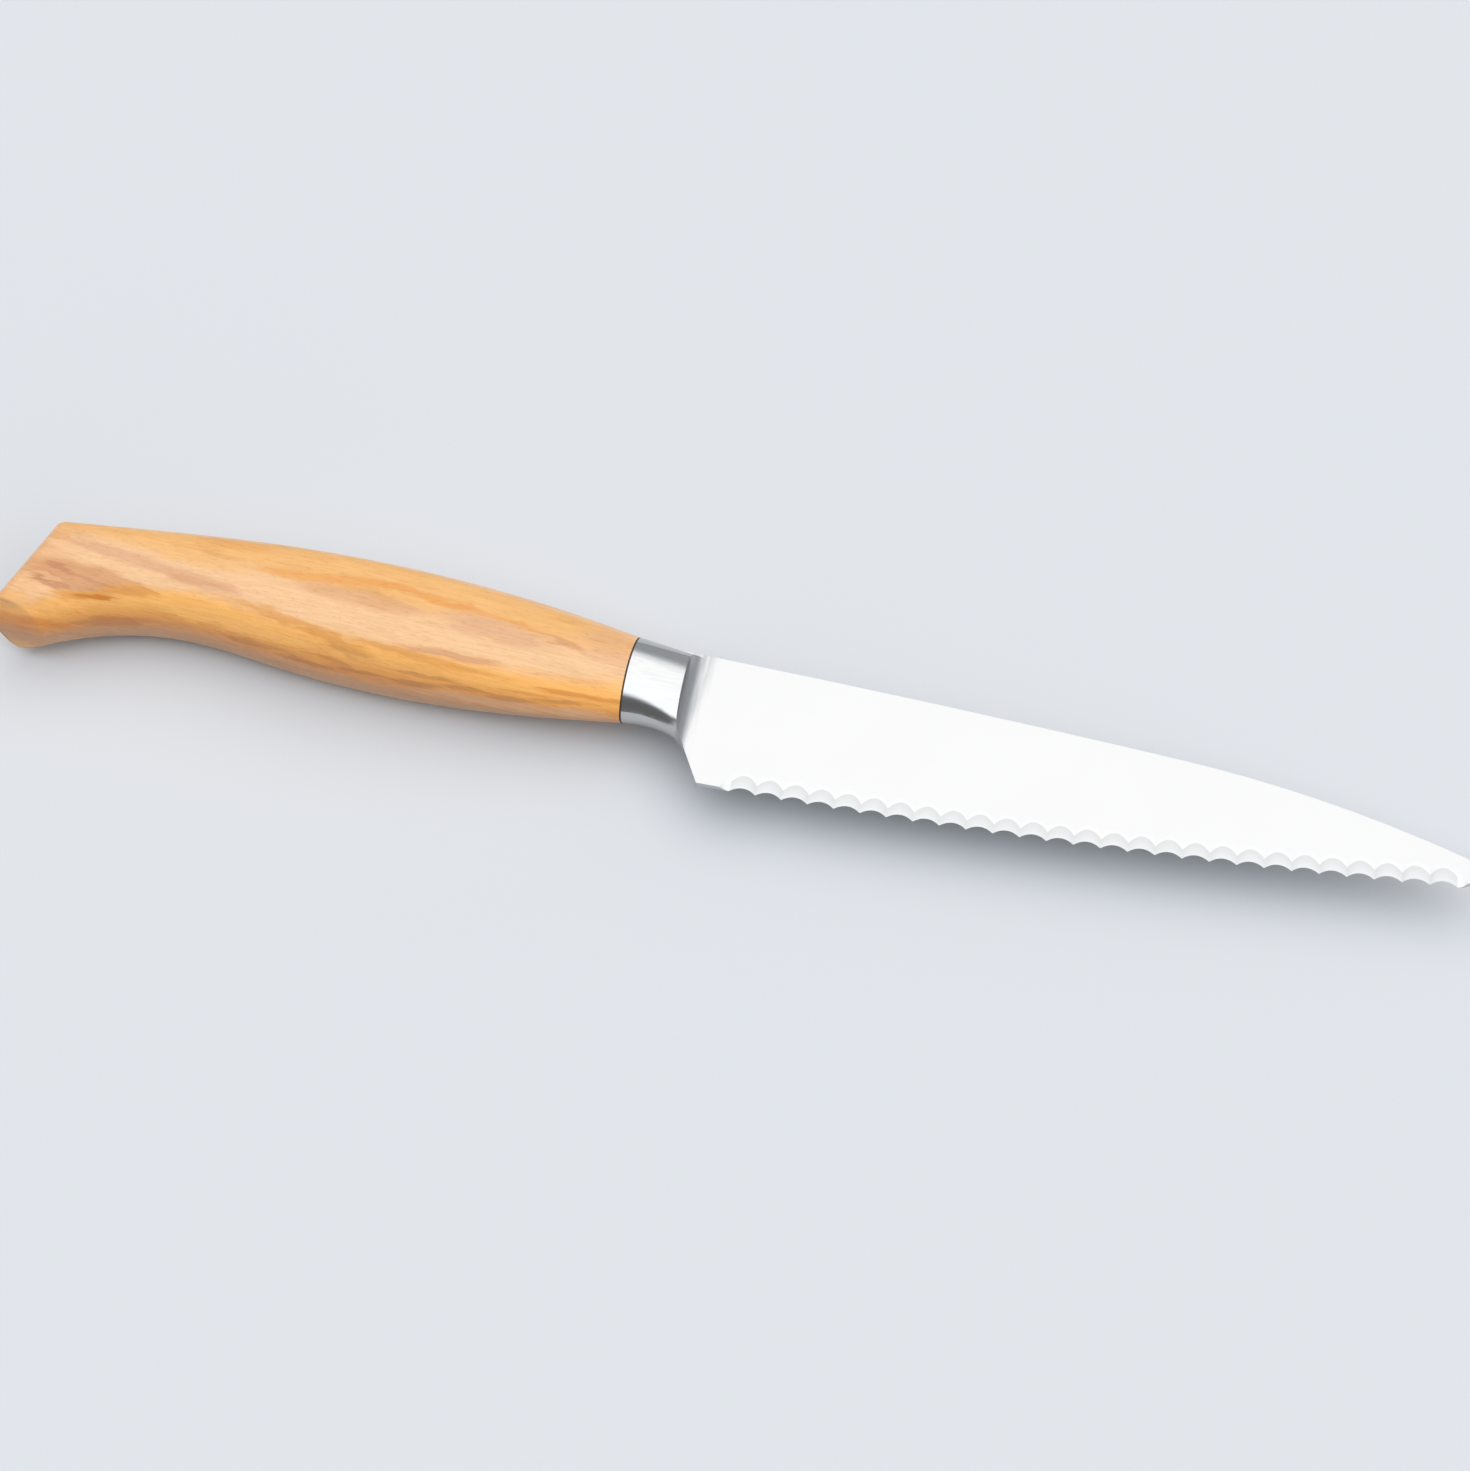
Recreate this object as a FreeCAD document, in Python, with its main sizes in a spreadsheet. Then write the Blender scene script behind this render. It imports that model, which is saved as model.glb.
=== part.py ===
import FreeCAD, Part
import math
import os

import Sketcher

# Tomato knife, lying on its side.
# +X runs to the tip, +Y to the spine, +Z out of the scallop-ground right face.
# The origin is where the blade leaves the bolster, on the blade's centre plane.

# Driving dimensions in millimetres, degrees and counts.
SIZES = {
    # Blade outline
    "blade_length": 130.0,
    "spine_root_rise": 6.75,
    "spine_bend_run": 80.0,
    "spine_bend_drop": 2.4,
    "spine_radius": 2000.0,
    "tip_drop": 16.0,
    "edge_low_run": 67.0,
    "edge_depth": 20.6,
    "edge_radius": 950.0,
    "point_run": 124.3,
    "heel_run": 5.0,
    "choil_angle": 63.4,
    "choil_radius": 5.0,
    "choil_rise": 7.4,
    "plate_root": 5.0,
    # Blade section
    "spine_thickness": 2.1,
    "edge_thickness": 0.65,
    # Scalloped edge
    "scallops_each_way": 13,
    "scallop_pitch": 4.2,
    "scallop_radius": 7.0,
    "scallop_depth": 1.2,
    "grind_angle": 19.0,
    # Bolster and cove
    "bolster_length": 8.9,
    "joint_lean": 2.4,
    "joint_height": 15.8,
    "joint_thickness": 11.4,
    "ridge_thickness": 8.7,
    "cove_radius": 2.8,
    "cove_bite": 0.03,
    # Stick tang
    "tang_length": 70.0,
    "tang_root_width": 9.0,
    "tang_end_width": 6.5,
    "tang_thickness": 3.2,
    "tang_lift": 5.6,
    # Cement bed
    "seam_thickness": 0.3,
    "cement_gap": 0.8,
    "cement_end_gap": 2.0,
    # Wooden handle
    "handle_length": 107.7,
    "palm_height": 20.8,
    "palm_thickness": 17.0,
    "nose_drop": 4.0,
    "butt_lean": 17.2,
    "beak_angle": 9.0,
    "butt_crown_radius": 9.0,
    "butt_rim_radius": 2.0,
    # Every cut runs past the solid by this much
    "overrun": 30.0,
}

# Handle stations from the joint to past the butt: place along the handle length,
# spine and belly heights as shares of the palm height, thickness as a share of the palm thickness,
# and how far the section has turned from the joint's oval into the palm's slab.
HANDLE_STATION_SHARES = [
    (0.125, 0.526, -0.397, 0.815, 0.40),
    (0.340, 0.660, -0.336, 0.985, 0.96),
    (0.560, 0.743, -0.174, 0.985, 1.00),
    (0.730, 0.754, -0.038, 0.905, 1.00),
    (0.860, 0.744, -0.142, 0.845, 1.00),
    (1.055, 0.727, -0.691, 0.790, 1.00),
]
# Bolster stations: place from the joint (0) to the ridge (1) as a share of the bolster length,
# top, bottom as shares of the joint height, thickness as a share of the ridge thickness.
BOLSTER_STATION_SHARES = [
    (0.20, 0.482, -0.497, 1.225),
    (0.45, 0.452, -0.512, 1.130),
    (0.72, 0.422, -0.554, 1.050),
    (1.00, 0.391, -0.640, 1.000),
]
# Tail stations inside the cove: place as a share of the cove radius, then as above.
TAIL_STATION_SHARES = [
    (0.50, 0.370, -0.732, 0.980),
    (1.00, 0.355, -0.854, 0.960),
]
# Arcs of a section: the corners' radius is a share of its half thickness, and the end and cheek
# arcs turn by these shares of a right angle to both sides of their middles.
JOINT_ARC_SHARES = {"corner": 1.18, "end": 0.28, "cheek": 0.28}
RIDGE_ARC_SHARES = {"corner": 0.90, "end": 0.28, "cheek": 0.28}
TAIL_ARC_SHARES = {"corner": 0.75, "end": 0.28, "cheek": 0.28}
PALM_ARC_SHARES = {"corner": 0.58, "end": 0.22, "cheek": 0.05}

doc = FreeCAD.newDocument("tomato_knife")
sheet = doc.addObject("Spreadsheet::Sheet", "sizes")
for row, (alias, number) in enumerate(SIZES.items(), start=1):
    sheet.set(f"A{row}", alias)
    sheet.set(f"B{row}", str(number))
    sheet.setAlias(f"B{row}", alias)
doc.recompute()

ORIGIN = (-1, 1)
X_AXIS = -1
START, END, CENTRE = range(1, 4)


def value(formula):
    """The number that a formula over the sheet's cells gives now."""
    return float(sheet.evalExpression(formula))


def vector(along, up):
    return FreeCAD.Vector(along, up, 0)


def origin_plane(body, role):
    return next(item for item in body.Origin.OriginFeatures if item.Role == role)


def new_body(name):
    return doc.addObject("PartDesign::Body", name)


def new_sketch(body, name, plane, base=(), turn_axis=None, turn=None):
    """A sketch on one of the body's own planes, shifted and turned by formulas."""
    sketch = body.newObject("Sketcher::SketchObject", name)
    sketch.AttachmentSupport = [(origin_plane(body, plane), "")]
    sketch.MapMode = "FlatFace"
    if turn_axis:
        rotation = FreeCAD.Rotation(FreeCAD.Vector(*turn_axis), value(turn))
        sketch.AttachmentOffset = FreeCAD.Placement(FreeCAD.Vector(), rotation)
        sketch.setExpression("AttachmentOffset.Rotation.Angle", turn)
    for axis, formula in base:
        sketch.setExpression(f"AttachmentOffset.Base.{axis}", formula)
    return sketch


def measure(sketch, kind, *geometry, formula):
    """A driving dimension bound to a formula over the sheet."""
    index = sketch.addConstraint(Sketcher.Constraint(kind, *geometry, value(formula)))
    sketch.setExpression(f"Constraints[{index}]", formula)


def relate(sketch, kind, *geometry):
    sketch.addConstraint(Sketcher.Constraint(kind, *geometry))


def pin_point(sketch, geometry, point, along, up):
    """Fixes a point of the sketch at formulas measured from its origin."""
    measure(sketch, "DistanceX", *ORIGIN, geometry, point, formula=along)
    measure(sketch, "DistanceY", *ORIGIN, geometry, point, formula=up)


def polygon(sketch, corners):
    """A closed polygon whose corners are pairs of formulas."""
    places = [vector(value(along), value(up)) for along, up in corners]
    first = sketch.GeometryCount
    count = len(corners)
    for index in range(count):
        sketch.addGeometry(Part.LineSegment(places[index], places[(index + 1) % count]))
    for index in range(count):
        relate(sketch, "Coincident", first + index, END, first + (index + 1) % count, START)
        pin_point(sketch, first + index, START, *corners[index])


def arc(centre, radius, start, end):
    circle = Part.Circle(centre, FreeCAD.Vector(0, 0, 1), radius)
    return Part.ArcOfCircle(circle, start, end)


def arc_between(start, end, radius, bulge_side):
    """The short arc from start to end that bulges to the left (1) or right (-1) of its chord."""
    chord = end - start
    middle = start + chord * 0.5
    normal = FreeCAD.Vector(-chord.y, chord.x, 0).normalize() * bulge_side
    reach = math.sqrt(radius ** 2 - (chord.Length / 2) ** 2)
    top = middle + normal * (radius - reach)
    return Part.ArcOfCircle(start, top, end)


def pad(body, name, sketch, length, symmetric=False, reverse=False):
    feature = body.newObject("PartDesign::Pad", name)
    feature.Profile = sketch
    feature.SideType = "Symmetric" if symmetric else "One side"
    feature.Reversed = reverse
    feature.setExpression("Length", length)
    return feature


def pocket(body, name, sketch, length):
    """A cut to both sides of the sketch, checked to take material away."""
    doc.recompute()
    before = body.Shape.Volume
    feature = body.newObject("PartDesign::Pocket", name)
    feature.Profile = sketch
    feature.SideType = "Symmetric"
    feature.setExpression("Length", length)
    doc.recompute()
    if not body.Shape.Volume < before:
        raise RuntimeError(f"{name} cuts nothing")
    return feature


def blend(first, last, along):
    """Arc shares part of the way from one section's to another's."""
    return {arc_name: share + (last[arc_name] - share) * along for arc_name, share in first.items()}


def rounded_section(body, name, place, top, bottom, thickness, arc_shares, **turn):
    """An eight-arc oval across the knife: crowned cheeks and ends joined by corner arcs."""
    sketch = new_sketch(body, name, "YZ_Plane", base=[("z", place)], **turn)
    right_angle = math.pi / 2
    side_angle = arc_shares["end"] * right_angle
    cheek_turn = arc_shares["cheek"] * right_angle
    top_angle = right_angle - cheek_turn
    end_slope, cheek_slope = math.tan(side_angle / 2), math.tan(cheek_turn / 2)
    stretch = 1 / (1 - end_slope * cheek_slope)
    middle = f"(({top}) + ({bottom})) / 2"
    tall = f"(({top}) - ({bottom})) / 2"
    half = f"({thickness}) / 2"
    corner_radius = f"{arc_shares['corner']} * ({half})"
    inner_tall = f"({tall} - {corner_radius})"
    inner_half = f"({half} - {corner_radius})"
    corner_rise = f"{stretch} * ({inner_tall} - {end_slope} * {inner_half})"
    corner_reach = f"{stretch} * ({inner_half} - {cheek_slope} * {inner_tall})"
    end_radius = f"{corner_radius} + {corner_reach} / {math.sin(side_angle)}"
    cheek_radius = f"{corner_radius} + {corner_rise} / {math.sin(cheek_turn)}"

    mid, corner_y, corner_z = value(middle), value(corner_rise), value(corner_reach)
    cheek, end, corner = value(cheek_radius), value(end_radius), value(corner_radius)
    across, down = value(tall) - end, cheek - value(half)
    half_turn, full_turn = math.pi, 2 * math.pi
    arcs = [
        (mid + across, 0, end, -side_angle, side_angle),
        (mid + corner_y, corner_z, corner, side_angle, top_angle),
        (mid, -down, cheek, top_angle, half_turn - top_angle),
        (mid - corner_y, corner_z, corner, half_turn - top_angle, half_turn - side_angle),
        (mid - across, 0, end, half_turn - side_angle, half_turn + side_angle),
        (mid - corner_y, -corner_z, corner, half_turn + side_angle, half_turn + top_angle),
        (mid, down, cheek, half_turn + top_angle, full_turn - top_angle),
        (mid + corner_y, -corner_z, corner, full_turn - top_angle, full_turn - side_angle),
    ]
    for along, up, radius, start, stop in arcs:
        sketch.addGeometry(arc(vector(along, up), radius, start, stop))
    for index in range(len(arcs)):
        relate(sketch, "Tangent", index, END, (index + 1) % len(arcs), START)
    spine_end, upper_cheek, belly_end, lower_cheek = 0, 2, 4, 6
    for index in (1, 3, 5, 7):
        measure(sketch, "Radius", index, formula=corner_radius)
    for index, place_formula in (
        (spine_end, f"({top}) - ({end_radius})"),
        (belly_end, f"({bottom}) + ({end_radius})"),
    ):
        measure(sketch, "Radius", index, formula=end_radius)
        relate(sketch, "PointOnObject", index, CENTRE, X_AXIS)
        measure(sketch, "DistanceX", *ORIGIN, index, CENTRE, formula=place_formula)
    for index, height_formula in (
        (upper_cheek, f"({half}) - ({cheek_radius})"),
        (lower_cheek, f"({cheek_radius}) - ({half})"),
    ):
        measure(sketch, "Radius", index, formula=cheek_radius)
        pin_point(sketch, index, CENTRE, middle, height_formula)
    return sketch


def loft(body, name, sections):
    feature = body.newObject("PartDesign::AdditiveLoft", name)
    feature.Profile = sections[0]
    feature.Sections = sections[1:]
    return feature


# Formulas that more than one piece uses
SHOULDER = "-sizes.bolster_length"
WOOD_FACE = "-sizes.bolster_length - sizes.seam_thickness"
JOINT_TOP = "sizes.joint_height / 2"
JOINT_BOTTOM = "-sizes.joint_height / 2"
FLANK_TILT = (
    "atan((sizes.spine_thickness - sizes.edge_thickness) / 2"
    " / (sizes.spine_root_rise + sizes.edge_depth))"
)
THROUGH = "2 * sizes.overrun"


def joint_section(body, name, place):
    """The leaning oval where bolster, seam and wood meet flush."""
    return rounded_section(
        body, name, place, JOINT_TOP, JOINT_BOTTOM, "sizes.joint_thickness", JOINT_ARC_SHARES,
        turn_axis=(0, -1, 0), turn="sizes.joint_lean",
    )


def blade_outline(sketch):
    """Spine, point, curved edge, heel and choil of the blade plate."""
    root = value("-sizes.plate_root")
    spine_start = vector(root, value("sizes.spine_root_rise"))
    bend = vector(value("sizes.spine_bend_run"), value("-sizes.spine_bend_drop"))
    tip = vector(value("sizes.blade_length"), value("-sizes.tip_drop"))
    edge_radius = value("sizes.edge_radius")
    edge_centre = vector(value("sizes.edge_low_run"), edge_radius - value("sizes.edge_depth"))

    def on_edge(run):
        drop = math.sqrt(edge_radius ** 2 - (run - edge_centre.x) ** 2)
        return vector(run, edge_centre.y - drop)

    point = on_edge(value("sizes.point_run"))
    heel = on_edge(value("sizes.heel_run"))
    slope = math.radians(value("sizes.choil_angle"))
    rise = -value("sizes.choil_rise")
    bend_radius = value("sizes.choil_radius")
    bend_reach = bend_radius * math.tan(slope / 2)
    knee = vector(heel.x - (rise - heel.y) / math.tan(slope), rise)
    choil_end = knee + vector(math.cos(slope), -math.sin(slope)) * bend_reach
    belly_start = knee - vector(bend_reach, 0)
    belly_centre = belly_start - vector(0, bend_radius)

    spine_chord = bend - spine_start
    spine_arc = arc_between(bend, spine_start, value("sizes.spine_radius"), -1)
    half_spine = math.asin(spine_chord.Length / 2 / value("sizes.spine_radius"))
    bend_heading = math.atan2(spine_chord.y, spine_chord.x) - half_spine
    point_chord = tip - bend
    half_point = bend_heading - math.atan2(point_chord.y, point_chord.x)
    point_arc = arc_between(tip, bend, point_chord.Length / 2 / math.sin(half_point), -1)

    heading = math.atan2(heel.y - edge_centre.y, heel.x - edge_centre.x)
    point_heading = math.atan2(point.y - edge_centre.y, point.x - edge_centre.x)
    edge_arc = arc(edge_centre, edge_radius, heading, point_heading)
    quarter = math.pi / 2
    belly_arc = arc(belly_centre, bend_radius, quarter - slope, quarter)
    plate_corner = vector(root, rise)

    first = sketch.GeometryCount
    shapes = [
        edge_arc,
        Part.LineSegment(point, tip),
        point_arc,
        spine_arc,
        Part.LineSegment(spine_start, plate_corner),
        Part.LineSegment(plate_corner, belly_start),
        belly_arc,
        Part.LineSegment(choil_end, heel),
    ]
    for shape in shapes:
        sketch.addGeometry(shape)
    edge, up_line, point_bend, spine, back, under, belly, choil = range(first, first + len(shapes))

    relate(sketch, "Coincident", edge, END, up_line, START)
    relate(sketch, "Coincident", up_line, END, point_bend, START)
    relate(sketch, "Tangent", point_bend, END, spine, START)
    relate(sketch, "Coincident", spine, END, back, START)
    relate(sketch, "Coincident", back, END, under, START)
    relate(sketch, "Tangent", under, END, belly, END)
    relate(sketch, "Tangent", belly, START, choil, START)
    relate(sketch, "Coincident", choil, END, edge, START)
    relate(sketch, "Vertical", back)
    relate(sketch, "Horizontal", under)
    measure(sketch, "Radius", edge, formula="sizes.edge_radius")
    pin_point(sketch, edge, CENTRE, "sizes.edge_low_run", "sizes.edge_radius - sizes.edge_depth")
    measure(sketch, "DistanceX", *ORIGIN, edge, START, formula="sizes.heel_run")
    measure(sketch, "DistanceX", *ORIGIN, edge, END, formula="sizes.point_run")
    pin_point(sketch, up_line, END, "sizes.blade_length", "-sizes.tip_drop")
    pin_point(sketch, point_bend, END, "sizes.spine_bend_run", "-sizes.spine_bend_drop")
    measure(sketch, "Radius", spine, formula="sizes.spine_radius")
    pin_point(sketch, spine, END, "-sizes.plate_root", "sizes.spine_root_rise")
    measure(sketch, "DistanceY", *ORIGIN, under, START, formula="-sizes.choil_rise")
    measure(sketch, "Radius", belly, formula="sizes.choil_radius")
    measure(sketch, "Angle", under, START, choil, START, formula="-sizes.choil_angle")


def blade_plate(body):
    """Wedge-section stock, flat on both flanks, with the blade's outline cut out of it."""
    stock = new_sketch(body, "stock_section", "YZ_Plane", base=[("z", "-sizes.plate_root")])
    polygon(stock, [
        ("sizes.spine_root_rise", "-sizes.spine_thickness / 2"),
        ("sizes.spine_root_rise", "sizes.spine_thickness / 2"),
        ("-sizes.edge_depth", "sizes.edge_thickness / 2"),
        ("-sizes.edge_depth", "-sizes.edge_thickness / 2"),
    ])
    pad(body, "stock", stock, "sizes.plate_root + sizes.blade_length")
    outline = new_sketch(body, "blade_outline", "XY_Plane")
    polygon(outline, [
        ("-sizes.plate_root - sizes.overrun", "-sizes.edge_depth - sizes.overrun"),
        ("sizes.blade_length + sizes.overrun", "-sizes.edge_depth - sizes.overrun"),
        ("sizes.blade_length + sizes.overrun", "sizes.spine_root_rise + sizes.overrun"),
        ("-sizes.plate_root - sizes.overrun", "sizes.spine_root_rise + sizes.overrun"),
    ])
    blade_outline(outline)
    pocket(body, "blade_shape", outline, THROUGH)


def bolster(body):
    """Oval bolster that narrows to the blade, its tail flowing down into the choil."""
    sections = [joint_section(body, "bolster_back", SHOULDER)]
    stations = [
        (
            f"sizes.bolster_length * ({along} - 1)", top, bottom, thick,
            blend(JOINT_ARC_SHARES, RIDGE_ARC_SHARES, along),
        )
        for along, top, bottom, thick in BOLSTER_STATION_SHARES
    ] + [
        (f"sizes.cove_radius * {along}", top, bottom, thick, TAIL_ARC_SHARES)
        for along, top, bottom, thick in TAIL_STATION_SHARES
    ]
    for index, (place, top, bottom, thick, arc_shares) in enumerate(stations, start=1):
        sections.append(rounded_section(
            body, f"bolster_{index}", place,
            f"sizes.joint_height * {top}", f"sizes.joint_height * {bottom}",
            f"sizes.ridge_thickness * {thick}", arc_shares,
        ))
    loft(body, "bolster", sections)


def cove(body, name, side):
    """Hollow ground between the bolster's ridge and one flank; side is 1 above and -1 below."""
    flank = (
        "(sizes.edge_thickness / 2 + sizes.edge_depth"
        f" * tan({FLANK_TILT})) * cos({FLANK_TILT})"
    )
    axis_height = f"{flank} + sizes.cove_radius - sizes.cove_bite"
    sketch = new_sketch(
        body, name + "_section", "XZ_Plane", turn_axis=(side, 0, 0), turn=FLANK_TILT,
    )
    radius = value("sizes.cove_radius")
    height = value(axis_height) * side
    far = value(f"{axis_height} + sizes.overrun") * side
    near_side, far_side = vector(0, height), vector(2 * radius, height)
    lowest = vector(radius, height - side * radius)
    sketch.addGeometry(Part.ArcOfCircle(near_side, lowest, far_side))
    hollow = 0
    hollow_near, hollow_far = (START, END) if side > 0 else (END, START)
    sketch.addGeometry(Part.LineSegment(far_side, vector(2 * radius, far)))
    sketch.addGeometry(Part.LineSegment(vector(2 * radius, far), vector(0, far)))
    sketch.addGeometry(Part.LineSegment(vector(0, far), near_side))
    outer, roof, ridge = 1, 2, 3
    relate(sketch, "Coincident", hollow, hollow_far, outer, START)
    relate(sketch, "Coincident", outer, END, roof, START)
    relate(sketch, "Coincident", roof, END, ridge, START)
    relate(sketch, "Coincident", ridge, END, hollow, hollow_near)
    relate(sketch, "Vertical", outer)
    relate(sketch, "Horizontal", roof)
    relate(sketch, "Vertical", ridge)
    relate(sketch, "Horizontal", hollow, START, hollow, CENTRE)
    relate(sketch, "Horizontal", hollow, END, hollow, CENTRE)
    measure(sketch, "Radius", hollow, formula="sizes.cove_radius")
    pin_point(sketch, hollow, CENTRE, "sizes.cove_radius", f"{side} * ({axis_height})")
    measure(sketch, "DistanceY", outer, START, outer, END, formula=f"{side} * sizes.overrun")
    pocket(body, name, sketch, THROUGH)


def tang(body):
    """Tapered stick tang that rises with the handle."""
    outline = new_sketch(
        body, "tang_outline", "XY_Plane", base=[("x", SHOULDER)],
        turn_axis=(0, 0, -1), turn="sizes.tang_lift",
    )
    buried = "sizes.bolster_length / 2"
    polygon(outline, [
        (buried, "-sizes.tang_root_width / 2"),
        (buried, "sizes.tang_root_width / 2"),
        ("-sizes.tang_length", "sizes.tang_end_width / 2"),
        ("-sizes.tang_length", "-sizes.tang_end_width / 2"),
    ])
    pad(body, "tang", outline, "sizes.tang_thickness", symmetric=True)


def scallops(body):
    """Row of hollows ground into the right face by a round wheel that leans onto the edge."""
    centre = new_sketch(body, "edge_centre", "XY_Plane", base=[
        ("x", "sizes.edge_low_run"), ("y", "sizes.edge_radius - sizes.edge_depth"),
    ])
    centre.addGeometry(Part.Point(FreeCAD.Vector()))
    relate(centre, "Coincident", 0, START, *ORIGIN)
    wheel = new_sketch(
        body, "scallop_wheel", "XZ_Plane", turn_axis=(1, 0, 0), turn="sizes.grind_angle", base=[
            ("x", "sizes.edge_low_run"),
            ("y", "-sizes.edge_thickness / 2"),
            ("z", "sizes.edge_depth - sizes.scallop_depth"),
        ],
    )
    radius = value("sizes.scallop_radius")
    wheel.addGeometry(Part.Circle(vector(0, radius), FreeCAD.Vector(0, 0, 1), radius))
    measure(wheel, "Radius", 0, formula="sizes.scallop_radius")
    pin_point(wheel, 0, CENTRE, "0", "sizes.scallop_radius")
    middle = pocket(body, "middle_scallop", wheel, "2 * sizes.scallop_radius")
    step = "sizes.scallop_pitch / sizes.edge_radius * 180 / pi"
    for name, backwards in (("scallops_to_tip", False), ("scallops_to_heel", True)):
        row = body.newObject("PartDesign::PolarPattern", name)
        row.Originals = [middle]
        row.Axis = (centre, ["N_Axis"])
        row.Reversed = backwards
        row.setExpression("Occurrences", "sizes.scallops_each_way + 1")
        row.setExpression("Angle", f"{step} * sizes.scallops_each_way")
        body.Tip = row
        doc.recompute()


def make_blade():
    """Blade, bolster and tang, forged in one piece of steel."""
    body = new_body("blade")
    blade_plate(body)
    bolster(body)
    cove(body, "upper_cove", 1)
    cove(body, "lower_cove", -1)
    tang(body)
    scallops(body)
    return body


def cement_bed():
    """The space between tang and wood: a round-ended slot and the thin film at the shoulder."""
    body = new_body("cement_bed")
    width = "(sizes.tang_thickness + 2 * sizes.cement_gap)"
    height = "(sizes.tang_root_width + 2 * sizes.cement_gap)"
    mouth_lead = "sizes.bolster_length / 2"
    slot = new_sketch(
        body, "slot_section", "YZ_Plane", turn_axis=(0, -1, 0), turn="sizes.tang_lift",
        base=[("z", f"{SHOULDER} + {mouth_lead}"), ("x", f"-{mouth_lead} * tan(sizes.tang_lift)")],
    )
    radius = value(f"{width} / 2")
    reach = value(f"({height} - {width}) / 2")
    quarter = math.pi / 2
    slot.addGeometry(arc(vector(reach, 0), radius, -quarter, quarter))
    slot.addGeometry(Part.LineSegment(vector(reach, radius), vector(-reach, radius)))
    slot.addGeometry(arc(vector(-reach, 0), radius, quarter, 3 * quarter))
    slot.addGeometry(Part.LineSegment(vector(-reach, -radius), vector(reach, -radius)))
    spine_round, upper, belly_round, lower = range(4)
    relate(slot, "Tangent", spine_round, END, upper, START)
    relate(slot, "Tangent", upper, END, belly_round, START)
    relate(slot, "Tangent", belly_round, END, lower, START)
    relate(slot, "Tangent", lower, END, spine_round, START)
    relate(slot, "PointOnObject", spine_round, CENTRE, X_AXIS)
    relate(slot, "PointOnObject", belly_round, CENTRE, X_AXIS)
    measure(slot, "Radius", spine_round, formula=f"{width} / 2")
    measure(slot, "DistanceX", *ORIGIN, spine_round, CENTRE, formula=f"({height} - {width}) / 2")
    measure(slot, "DistanceX", belly_round, CENTRE, *ORIGIN, formula=f"({height} - {width}) / 2")
    depth = f"{mouth_lead} + sizes.tang_length + sizes.cement_end_gap"
    pad(body, "slot", slot, depth, reverse=True)
    trim = new_sketch(body, "mouth_trim", "XY_Plane")
    lean_run = "sizes.overrun * tan(sizes.joint_lean)"
    polygon(trim, [
        (f"{SHOULDER} - {lean_run}", "-sizes.overrun"),
        (f"{SHOULDER} + sizes.overrun", "-sizes.overrun"),
        (f"{SHOULDER} + sizes.overrun", "sizes.overrun"),
        (f"{SHOULDER} + {lean_run}", "sizes.overrun"),
    ])
    pocket(body, "mouth", trim, THROUGH)
    film = joint_section(body, "film_section", WOOD_FACE)
    pad(body, "film", film, "sizes.seam_thickness * cos(sizes.joint_lean)")
    return body


def butt_crown(body, nose):
    """Slanted butt, crowned across the thickness; it peaks at the nose on the centre plane."""
    sketch = new_sketch(
        body, "butt_section", "XZ_Plane", turn_axis=(0, -1, 0), turn="sizes.butt_lean",
        base=[("x", nose), ("z", "sizes.nose_drop")],
    )
    radius = value("sizes.butt_crown_radius")
    far = value("-sizes.overrun")
    sketch.addGeometry(Part.ArcOfCircle(vector(radius, radius), vector(0, 0), vector(radius, -radius)))
    sketch.addGeometry(Part.LineSegment(vector(radius, -radius), vector(far, -radius)))
    sketch.addGeometry(Part.LineSegment(vector(far, -radius), vector(far, radius)))
    sketch.addGeometry(Part.LineSegment(vector(far, radius), vector(radius, radius)))
    crown, lower, back, upper = range(4)
    relate(sketch, "Coincident", crown, END, lower, START)
    relate(sketch, "Coincident", lower, END, back, START)
    relate(sketch, "Coincident", back, END, upper, START)
    relate(sketch, "Coincident", upper, END, crown, START)
    relate(sketch, "Horizontal", lower)
    relate(sketch, "Vertical", back)
    relate(sketch, "Horizontal", upper)
    relate(sketch, "Vertical", crown, START, crown, CENTRE)
    relate(sketch, "Vertical", crown, END, crown, CENTRE)
    measure(sketch, "Radius", crown, formula="sizes.butt_crown_radius")
    pin_point(sketch, crown, CENTRE, "sizes.butt_crown_radius", "0")
    measure(sketch, "DistanceX", *ORIGIN, back, START, formula="-sizes.overrun")
    pocket(body, "butt", sketch, THROUGH)


def butt_edges(body):
    """Names of the edges round the crowned butt face."""
    radius = value("sizes.butt_crown_radius")
    crowned = [
        face for face in body.Shape.Faces
        if isinstance(face.Surface, Part.Cylinder) and math.isclose(face.Surface.Radius, radius)
    ]
    return [
        f"Edge{index}"
        for index, edge in enumerate(body.Shape.Edges, start=1)
        if any(edge.isSame(other) for face in crowned for other in face.Edges)
    ]


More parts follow.
